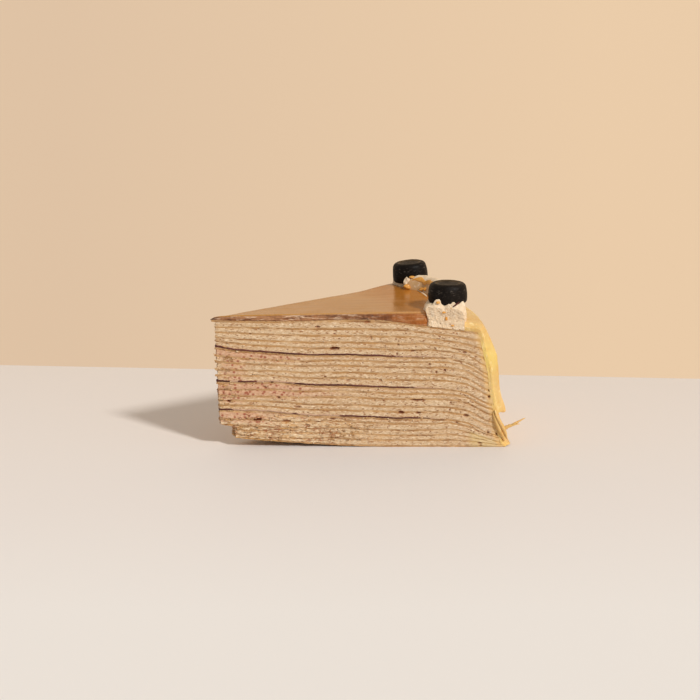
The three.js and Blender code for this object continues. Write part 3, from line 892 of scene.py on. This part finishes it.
# Strips torn from the inner crepe: points and thickness along each. Two stick out to the side,
# and two hang from its end over the foot of the cut.
STRANDS = (
    ((111.0, 1.0, 6.2, 1.5), (113.2, 0.4, 7.4, 1.4), (115.0, 0.2, 8.4, 1.1),
     (116.8, 0.2, 9.0, 0.8), (119.4, 0.3, 9.3, 0.3)),
    ((115.2, 0.2, 8.5, 0.7), (117.0, 0.1, 9.4, 0.7), (119.0, 0.4, 10.4, 0.55),
     (121.4, 0.8, 11.6, 0.25)),
    ((109.2, -0.5, 15.2, 0.8), (110.4, -0.7, 12.0, 1.3), (111.9, -0.5, 9.0, 1.5),
     (113.2, -0.2, 6.2, 1.4), (114.2, 0.2, 3.2, 0.8)),
    ((108.5, 0.1, 14.8, 0.7), (109.5, 0.0, 11.6, 1.5), (110.7, 0.0, 8.4, 1.7),
     (112.1, 0.1, 5.2, 1.6), (113.4, 0.6, 2.2, 0.9)),
)


def inner_offset(height):
    return GAP + 2.6 * clamp01(1 - height / 24) ** 0.8


def pleat(angle):
    turn = 2 * pi * 8.5 * (angle - radians(1.2)) / WEDGE
    return 0.5 + 0.35 * cos(turn) + 0.15 * cos(1.7 * turn + 1)


def at_rim_cut(height, angle):
    """0 at either cut and 1 behind the strip where the draped crepes turn in to it."""
    return smooth(0, CUT_HUG, rim_radius(height) * min(angle, WEDGE - angle))


def lifted_fold(height):
    """The part of the near cut's edge where the outer crepe stands off."""
    return bell(height, 36, 3.6)


def inner_sheet_offset(height, angle):
    free = inner_offset(height) + 0.25 * grain(angle * 20, height * 0.12, 31)
    swell = 0.7 * lifted_fold(height) * bell(rim_radius(height) * angle, 0.7, 0.7)
    at_cut = -0.25 + 1.1 * fade(4, 15, height)
    return lerp(at_cut, free, at_rim_cut(height, angle)) + swell


def outer_sheet_offset(height, angle):
    """The outer crepe hangs in pleats and turns in to the cuts, but for one lifted fold."""
    fall = clamp01((STACK_HEIGHT - height) / 9)
    near = exp(-rim_radius(height) * angle / 4)
    close = 0.45 + 0.6 * lifted_fold(height) * near + 0.2 * grain(height * 0.4, 0, 57)
    wrinkle = 0.35 * grain(angle * 26, height * 0.16, 37) * fall
    free = inner_offset(height) + SHEET_THICKNESS + GAP + 2.1 * fall * pleat(angle) + wrinkle
    free += 0.8 * bell(height, 44, 7)
    return lerp(close, free, at_rim_cut(height, angle))


def inner_hem(angle):
    return 0.3 + 0.5 * abs(grain(angle * 30, 0, 41))


def outer_hem(angle):
    waves = 3 * sin(23 * angle) * cos(9 * angle + 1)
    torn = 2.0 * grain(angle * 40, 0.3, 43) + 1.2 * grain(angle * 120, 0.3, 47)
    return 19.8 + waves + torn - 1.2 * exp(-angle / 0.02)


def drape_point(way, angle, offset, hem, extra):
    """A point of a draped crepe, and its height in the stack. way is 0 at its top edge and 1
    at its hem."""
    if way < SHEET_SHOULDER:
        height = STACK_HEIGHT
        radius = lerp(SHEET_TOP_RADIUS, rim_radius(height), way / SHEET_SHOULDER)
    else:
        down = (way - SHEET_SHOULDER) / (1 - SHEET_SHOULDER)
        height = lerp(STACK_HEIGHT, hem(angle), down)
        radius = rim_radius(height)
    lean = radians(82 * smooth(0.02, 0.3, way))
    out = offset(height, angle) + extra
    lift = stack_point(radius, angle, height).z + out * cos(lean)
    return polar(radius + out * sin(lean), angle, max(lift, 0.03)), height


def add_draped_crepe(node, offset, hem, rows, columns, ragged):
    bm = block(columns, rows, [0, 1])
    fold, low = marks(bm, "fold", "low")
    for vert in bm.verts:
        across, up, outer = vert.co
        angle = WEDGE * across
        point, height = drape_point(1 - up, angle, offset, hem, SHEET_THICKNESS * outer)
        point += polar(ragged * 0.12 * grain(angle * 90, height * 0.5, 51), angle, 0)
        # The knife left both ends ragged
        behind = rim_radius(height) * min(angle, WEDGE - angle)
        torn = (ripples(height, outer, 0, END_WAVES) + 0.15) * bell(behind, 0, 1.2)
        point.y -= torn if across < 0.5 else -torn
        vert.co = point
        # The fold mark below is painted light: a brighter yellow in the creases between pleats,
        # on the faces turned in between the sheets and along the lifted fold by the near cut
        beside = max(offset(height, max(angle - 0.02, 0)),
                     offset(height, min(angle + 0.02, WEDGE)))
        hidden = 0.5 if outer < 0.5 else 0.0
        creased = 0.35 * clamp01((beside - offset(height, angle)) * 0.35 + hidden)
        by_cut = bell(height, 41, 6) * bell(behind, 0, 3.5)
        vert[fold] = max(creased * fade(42, 49, height), by_cut)
        vert[low] = fade(8, 34, height)
    bmesh.ops.smooth_vert(bm, verts=bm.verts[:], factor=0.3, use_axis_x=True,
                          use_axis_y=True, use_axis_z=True)
    finish_piece(bm, f"{node}_sheet", draped_look, "draped_crepe", 50, node)


def tube(bm, line, sides):
    """A closed, flattened tube with rounded ends, added to bm. Each point of the line is
    followed by the tube's thickness there."""
    made = bmesh.ops.create_uvsphere(bm, u_segments=sides, v_segments=len(line) * 4, radius=1)
    last = len(line) - 1
    for vert in made["verts"]:
        way, around = sphere_place(vert)
        centre, ahead, behind = [Vector(profile_at(line, at)[:3])
                                 for at in (way, min(1, way + 0.02), max(0, way - 0.02))]
        turn = (ahead - behind).to_track_quat("Z", "Y")
        step = min(int(way * last), last - 1)
        radius = lerp(line[step][3], line[step + 1][3], way * last - step)
        radius *= hypot(vert.co.x, vert.co.y) ** 0.3
        flat = Vector((cos(around), 0.6 * sin(around), 0)) * radius
        vert.co = centre + turn @ flat


def add_torn_strand():
    bm = bmesh.new()
    for strand in STRANDS:
        tube(bm, strand, 12)
    low, = marks(bm, "low")
    for vert in bm.verts:
        vert.co.z += 0.3 * grain(vert.co.x * 1.5, vert.co.z, 5)
        vert[low] = 0.4
    finish_piece(bm, "torn_crepe_strand", draped_look, "draped_crepe", 60)


# ---------------------------------------------------------------- piped cream and drums

# Where a drum's axis stands, its radius, the height of its foot and how far it leans
Drum = namedtuple("Drum", "axis radius base tilt")
NEAR_DRUM = Drum(polar(90.86, atan2(5.4, 90.8), 0), 7.6, 56.8, 0)
FAR_DRUM = Drum(polar(92.4, WEDGE - asin(6.6 / 92.1), 0), 7.1, 56.3, radians(-5))
DOLLOP_HEIGHT = 10
DOLLOP_PROFILE = (
    (0, 0), (0.5, 0), (0.92, 0.02), (1.0, 0.28), (0.98, 0.55), (0.92, 0.78), (0.78, 0.92),
    (0.5, 0.9), (0, 0.88),
)

# Peaks of the cream round a drum's foot: place from the dollop's axis, reach and rise
NEAR_PEAKS = (
    (-3.7, -6.9, 1.1, 2.1), (-2.1, -6.9, 1.0, 2.2), (1.2, -6.9, 0.9, 2.0), (2.9, -6.9, 1.0, 2.5),
    (6.8, -4.6, 1.4, 1.2), (-5.3, 2.5, 1.7, 1.9), (-7.2, -4.4, 1.2, 0.3),
    (-2.4, 6.4, 1.8, 1.6), (4.2, 7.0, 1.6, 1.2), (7.6, 2.6, 1.5, 1.0),
)
FAR_PEAKS = (
    (-7.0, 0.4, 1.4, 1.4), (-4.6, 5.2, 1.6, 1.8), (0.8, 7.0, 1.3, 1.6), (5.6, 4.6, 1.6, 1.4),
    (7.0, -1.4, 1.3, 1.0),
)


FACE_WAVES = ((0.35, 0.45, 0.45, 4), (0.2, 1.5, 1.5, 9), (0.18, 3.2, 3.2, 15))


def add_dollop(node, drum, axis, radius, peaks, seed, cut_side):
    """A piped dollop with lobes that wind round it and peaks round the drum's foot. The near
    cut's knife pressed that side of its dollop square."""
    base = drum.base - DOLLOP_HEIGHT + 1
    normal = CUT_NORMALS[cut_side]
    bm = bmesh.new()
    bmesh.ops.create_uvsphere(bm, u_segments=220, v_segments=120, radius=1)
    cut, = marks(bm, "cut")
    for vert in bm.verts:
        way, around = sphere_place(vert)
        share, level = profile_at(DOLLOP_PROFILE, way)
        z = base + level * DOLLOP_HEIGHT
        reach = radius * share
        reach *= 1 + 0.06 * cos(7 * around + 0.35 * (z - base)) * share
        if cut_side == NEAR and around < 0:
            reach *= (cos(around) ** 8 + sin(around) ** 8) ** -0.125
            reach *= 1 + 0.13 * bell(around, -2.5, 0.35) * bell(level, 0.78, 0.14)
        offset = polar(reach, around, 0)
        if cut_side == NEAR and offset.x < 0:
            # Its inner side leans out over the glaze and is drawn in at the top
            offset.x *= 0.84 + 0.16 * smooth(0.25, 0.6, level)
            offset.x *= 1 - 0.14 * smooth(0.8, 0.95, level)
        rise = 0.9 * max(0.0, grain(around * 2.2, seed, way * 2))
        rise += 0.5 * max(0.0, grain(around * 6, seed + 3, way * 5))
        for x, y, width, height in peaks:
            rise += height * bell(hypot(offset.x - x, offset.y - y), 0, width)
        rise *= smooth(0.5, 0.85, level) * smooth(0.55, 0.8, share)
        point = axis + offset + Vector((0, 0, z + rise))
        lump = lumps(point, seed, (0.16, 0.5), (0.16, 1.2), (0.14, 2.4))
        point += (point - axis - Vector((0, 0, 52))).normalized() * lump
        angle = WEDGE * clamp01(atan2(point.y, point.x) / WEDGE)
        top = stack_point(hypot(point.x, point.y), angle, STACK_HEIGHT).z
        point.z = max(lerp(top, point.z, smooth(0, 0.3, level)), top + 0.05)
        over = point.dot(normal) - 0.25 - 2.2 * smooth(50.5, 57.5, point.z)
        if over > 0:
            point -= normal * (over + ripples(point.x, point.z, seed, FACE_WAVES))
        vert[cut] = smooth(-0.6, 0.2, over)
        vert.co = point
    finish_piece(bm, f"{node}_piped", piped_look, "piped_cream", 70, node)


ROPE_START = radians(8.5)
ROPE_END = radians(30)
ROPE_BASE = 54


def rope_path(way):
    """The angle and radius of the rope's middle. Its end hooks in front of the far drum."""
    angle = lerp(ROPE_START, ROPE_END, way)
    hook = 6.5 * clamp01(1 - (ROPE_END - angle) / radians(6)) ** 1.5
    return angle, ROPE_RADIUS - hook


def rope_point(way, around, extra=0.0):
    """A point of the piped rope. way runs along it, and around is 0 on its outer side."""
    angle, path = rope_path(way)
    thick = sqrt(max(0.0, 1 - (2 * way - 1) ** 8))
    thick *= 0.94 + 0.06 * abs(sin(pi * 4 * way + 0.3))
    across = (4.5 * thick + extra) * cos(around) * (1 - 0.2 * sin(around))
    rise = (6.5 * thick + extra) * sin(around)
    point = polar(path + across, angle, ROPE_BASE + rise)
    top = stack_point(path + across, angle, STACK_HEIGHT).z
    point.z = max(point.z, top + 0.05)
    return point


# The cream that was squeezed out along the rope's foot: radius, degrees, height and thickness
ROPE_FOOT = (
    (88.9, 29.5, 54.5, 0.3), (88.9, 26.9, 54.5, 0.65), (88.9, 24.3, 54.4, 0.6),
    (88.3, 20.1, 54.2, 0.65), (87.6, 17.2, 54.0, 0.4),
)


def add_rope():
    bm = bmesh.new()
    rope_shade, = marks(bm, "rope_shade")
    bmesh.ops.create_uvsphere(bm, u_segments=96, v_segments=160, radius=1)
    for vert in bm.verts:
        way, around = sphere_place(vert)
        point = rope_point(way, around)
        if hypot(vert.co.x, vert.co.y) < 1e-4:
            angle, path = rope_path(way)
            point = polar(path, angle, ROPE_BASE)
        lump = lumps(point, 0, (1, 0.4), (0.4, 1.3)) * (0.2 + 0.3 * smooth(0.85, 0.97, way))
        vert.co = point + Vector((cos(around), 0, sin(around))) * lump
        # Painted shade: the rope is darker and warmer below its lit top
        vert[rope_shade] = fade(57.8, 59.6, vert.co.z)
    tube(bm, [(*polar(radius, radians(turn), height), thick)
              for radius, turn, height, thick in ROPE_FOOT], 10)
    # The curl at its end
    blob(bm, (75.9, 42.4, 57.2), (1.3, 1.2, 1.9), 4.4, 4, 0.5)
    finish_piece(bm, "cream_rope_piped", piped_look, "piped_cream", 70, "cream_rope")


# A drum's outline: share of its radius and of its height
DRUM_PROFILE = (
    (0, 0), (0.6, 0), (0.86, 0.01), (0.95, 0.05), (0.99, 0.13), (1, 0.24), (1, 0.4),
    (0.985, 0.58), (0.96, 0.74), (0.92, 0.86), (0.86, 0.94), (0.78, 0.985), (0.7, 1),
    (0.64, 0.985), (0.57, 0.962), (0.3, 0.955), (0, 0.95),
)
DRUM_STEPS = 80


def add_drum(node, drum, seed):
    """A chocolate drum with rounded edges, a slightly dished top and a narrower foot."""
    bm = bmesh.new()
    line = [profile_at(DRUM_PROFILE, n / DRUM_STEPS) for n in range(DRUM_STEPS + 1)]
    verts = [bm.verts.new((max(r, 0) * drum.radius, 0, h * DRUM_HEIGHT)) for r, h in line]
    edges = [bm.edges.new(pair) for pair in zip(verts, verts[1:])]
    bmesh.ops.spin(bm, geom=verts + edges, cent=(0, 0, 0), axis=(0, 0, 1), steps=96,
                   angle=tau, use_merge=True)
    bmesh.ops.remove_doubles(bm, verts=bm.verts[:], dist=1e-4)
    pale_specks, lit_dish_wall = marks(bm, "pale_specks", "lit_dish_wall")
    turn = Matrix.Rotation(drum.tilt, 4, "Y")
    for vert in bm.verts:
        point = vert.co.copy()
        level = point.z / DRUM_HEIGHT
        out = Vector((point.x, point.y, 0)) / drum.radius
        lump = lumps(point, seed, (0.1, 0.3), (0.04, 1.1))
        point += out * lump + Vector((0, 0, 0.6 * lump * level))
        # Pale specks everywhere, thickest in a band round the upper side
        vert[pale_specks] = bell(level, 0.66, 0.12) + 0.15
        # Painted light: a thin lighter ring on the top, where the dish's inner wall catches the
        # light
        vert[lit_dish_wall] = bell(out.length, 0.6, 0.05) * smooth(0.9, 0.95, level)
        vert.co = turn @ point + drum.axis + Vector((0, 0, drum.base))
    finish_piece(bm, f"{node}_cast", drum_look, "chocolate", 60, node)


# ---------------------------------------------------------------- sauce, crumbs and flakes


def blob(bm, centre, size, seed, divisions, uneven):
    """An uneven round lump added to bm."""
    made = bmesh.ops.create_icosphere(bm, subdivisions=divisions, radius=1)
    for vert in made["verts"]:
        out = 1 + uneven * grain(vert.co.x * 1.3 + seed, vert.co.y * 1.3, vert.co.z * 1.3)
        stretched = Vector(a * b for a, b in zip(vert.co, size))
        vert.co = Vector(centre) + stretched * out


# Drops of sauce on the rope: place along it, place round it, and half sizes
ROPE_DROPS = (
    (0.93, 1.75, 1.4, 1.0, 0.6), (0.72, 2.9, 1.5, 1.2, 0.9), (0.63, 2.8, 0.9, 0.8, 0.7),
    (0.8, 3.14, 0.7, 0.6, 0.4),
)
# Drops at the rope's foot and on the near dollop's cut face: place and half sizes
OTHER_DROPS = (
    (75.9, 40.2, 55.8, 1.5, 1.2, 1.0), (86.7, -2.5, 58.3, 0.8, 0.35, 0.5),
    (89.0, -1.5, 54.2, 0.75, 0.4, 0.5), (90.0, -0.5, 51.5, 0.5, 0.35, 0.8),
    (91.7, -2.2, 56.1, 0.3, 0.3, 0.3), (92.4, -0.35, 48.7, 0.6, 0.35, 0.3),
)


def add_sauce():
    """A strip of caramel along the rope, and flat drops on the cream beside it."""
    bm = block(90, 10, [0, 1])
    for vert in bm.verts:
        along, side, over = vert.co
        way = lerp(0.45, 0.9, along)
        taper = sin(pi * clamp01(along)) ** 0.4
        share = 2 * side - 1
        around = 2.3 + 0.2 * grain(way * 9, 0, 61)
        around += share * (0.2 + 0.14 * grain(way * 14, 0, 67)) * taper
        rounded = 0.3 * sqrt(max(0.0, 1 - share * share)) * taper
        vert.co = rope_point(way, around, -0.3 + over * (0.35 + rounded))
    for n, (way, around, *size) in enumerate(ROPE_DROPS):
        blob(bm, rope_point(way, around), size, n * 2.3, 3, 0.4)
    for n, (x, y, z, *size) in enumerate(OTHER_DROPS):
        blob(bm, (x, y, z), size, n * 3.1, 3, 0.4)
    finish_piece(bm, "caramel_sauce", sauce_look, "glaze", 60)


def add_chip():
    """A sliver of chocolate on the near dollop's cut face."""
    bm = bmesh.new()
    tube(bm, ((92.3, -2.6, 56.6, 0.3), (93.6, -2.7, 57.5, 0.6), (95.0, -2.6, 58.7, 0.4)), 10)
    finish_piece(bm, "chocolate_chip", filling_look, "chocolate", 60)


def face_point(radius, height, side, out):
    """A point on a cut face, out in front of its relief."""
    relief = cut_relief(radius, height, side) + out
    return polar(radius, WEDGE * side, height) + CUT_NORMALS[side] * relief


def add_cream_crumbs():
    rng = random.Random(12)
    bm = bmesh.new()
    for n in range(520):
        side = int(rng.random() < 0.4)
        radius = rng.uniform(4, 108)
        height = rng.uniform(1.5, 47)
        wanted = 0.2 + 0.8 * crumbled(radius, height)
        if rng.random() > wanted or pocket_depth(radius, height, side) > 0.1:
            continue
        if not tip_radius(height) + 1.5 < radius < rim_radius(height) - 2:
            continue
        size = rng.uniform(0.15, 0.4)
        at = face_point(radius, height, side, size * 0.1)
        blob(bm, at, (size * rng.uniform(1, 1.7), size, size * 0.8), n, 2, 0.6)
    crumb, = marks(bm, "crumbled")
    for vert in bm.verts:
        vert[crumb] = 0.3
    finish_piece(bm, "cream_crumbs", cream_look, "cream", 80)


def add_flake(bm, rng, centre, length, width, turn):
    """A thin, slightly rolled flake of crepe."""
    made = bmesh.ops.create_grid(bm, x_segments=6, y_segments=3, size=1)["verts"]
    faces = list({face for vert in made for face in vert.link_faces})
    grown = bmesh.ops.extrude_face_region(bm, geom=faces)["geom"]
    raised = [item for item in grown if isinstance(item, bmesh.types.BMVert)]
    bmesh.ops.translate(bm, verts=raised, vec=(0, 0, 0.5))
    bend = rng.uniform(0.2, 0.7)
    seed = rng.uniform(0, 99)
    for vert in made + raised:
        x, y, z = vert.co
        ragged = 1 + 0.5 * grain(x * 2 + seed, y * 2, seed)
        point = Vector((x * length * 0.5 * ragged, y * width * 0.5 * ragged, z * 0.3))
        point.z += bend * (x * x) * length * 0.3
        vert.co = Vector(centre) + turn @ point


def add_crepe_flakes():
    rng = random.Random(31)
    bm = bmesh.new()
    for _ in range(190):
        height = rng.uniform(2, 40)
        if rng.random() < 0.4:
            radius = tip_radius(height) + rng.uniform(0.6, 6)
        else:
            radius = rng.uniform(9.5, 62)
            height = rng.uniform(1.5, 12)
        if radius > 12 and height > 14:
            continue
        side = FAR if rng.random() < 0.35 else NEAR
        lifted = height + curl(radius, height)
        centre = face_point(radius, lifted, side, 0.05)
        tilt = Matrix.Rotation(rng.uniform(-0.5, 0.5), 3, "Y")
        tilt @= Matrix.Rotation(rng.uniform(0.7, 1.9), 3, "X")
        add_flake(bm, rng, centre, rng.uniform(0.7, 2.0), rng.uniform(0.3, 0.7), tilt)
    crumb, = marks(bm, "crumbled")
    for vert in bm.verts:
        vert[crumb] = 0.9
        vert.co.z = max(vert.co.z, 0.05)
    finish_piece(bm, "crepe_flakes", crepe_look, "crepe", 50)


# ---------------------------------------------------------------- floor, backdrop and light


def add_surface(name, corners, look):
    """A flat surface with these corners, in the order round it."""
    first, second, third, fourth = [Vector(corner) for corner in corners]
    bm = bmesh.new()
    bmesh.ops.create_grid(bm, x_segments=1, y_segments=1, size=1)
    for vert in bm.verts:
        across = vert.co.x * 0.5 + 0.5
        low, high = first.lerp(second, across), fourth.lerp(third, across)
        vert.co = low.lerp(high, vert.co.y * 0.5 + 0.5)
    add_mesh(bm, name, look.painted())


def add_stage():
    table = Finish("pale_table", 0.6)
    table.tone = colour(234, 230, 226)
    # Painted shade: the table is darker and warmer towards the back
    table.tint((230, 223, 218), table.ramp("Y", -0.22, -0.12))
    table.tint((217, 204, 191), table.ramp("Y", -0.12, 0.3))
    wall = Finish("peach_wall", 0.9)
    wall.tone = colour(234, 202, 170)
    # Painted light: the wall is lighter towards the right, the side the key light comes from
    wall.tint((246, 212, 175), wall.ramp("X", -0.35, 0.3))
    # The table's far edge is turned a little
    add_surface("table", ((-3941, -3966, 0), (4059, -3966, 0), (4059, -206.5, 0),
                          (-3941, 452, 0)), table)
    add_surface("wall", ((-5941, 1834, -3000), (6059, 1834, -3000), (6059, 1834, 4000),
                         (-5941, 1834, 4000)), wall)


def add_light():
    key = bpy.data.lights.new("key", "SUN")
    key.energy = 2.6
    key.angle = radians(8)
    key.color = (1.0, 0.99, 0.97)
    towards = Vector((0.52, -0.60, 0.61))
    add_object("key", key).rotation_euler = towards.to_track_quat("Z", "Y").to_euler()
    world = bpy.data.worlds.new("soft_light")
    world.use_nodes = True
    background = world.node_tree.nodes["Background"]
    background.inputs["Color"].default_value = (0.93, 0.98, 1.0, 1)
    background.inputs["Strength"].default_value = 0.43
    bpy.context.scene.world = world
    bpy.context.scene.view_settings.view_transform = "Standard"


def add_camera():
    lens = bpy.data.cameras.new("camera")
    lens.sensor_width = 36
    lens.lens = 18 / tan(radians(9))
    lens.clip_start = 0.05
    lens.clip_end = 20
    camera = add_object("camera", lens)
    camera.location = place(Vector((52.81, -834.06, 234.75)))
    camera.rotation_euler = (radians(76.79), 0, 0)
    bpy.context.scene.camera = camera


add_camera()
add_light()
add_stage()
add_stack()
add_glaze()
add_draped_crepe("draped_crepe_inner", inner_sheet_offset, inner_hem, 60, 170, 0.6)
add_draped_crepe("draped_crepe_outer", outer_sheet_offset, outer_hem, 64, 200, 1.0)
add_torn_strand()
add_dollop("cream_dollop_near", NEAR_DRUM, NEAR_DRUM.axis - Vector((1.1, 0, 0)), 8.0,
           NEAR_PEAKS, 1.7, NEAR)
add_dollop("cream_dollop_far", FAR_DRUM, FAR_DRUM.axis + Vector((0, 1.5, 0)), 7.4,
           FAR_PEAKS, 8.3, FAR)
add_rope()
add_drum("chocolate_drum_near", NEAR_DRUM, 2.2)
add_drum("chocolate_drum_far", FAR_DRUM, 9.4)
add_sauce()
add_chip()
add_cream_crumbs()
add_crepe_flakes()
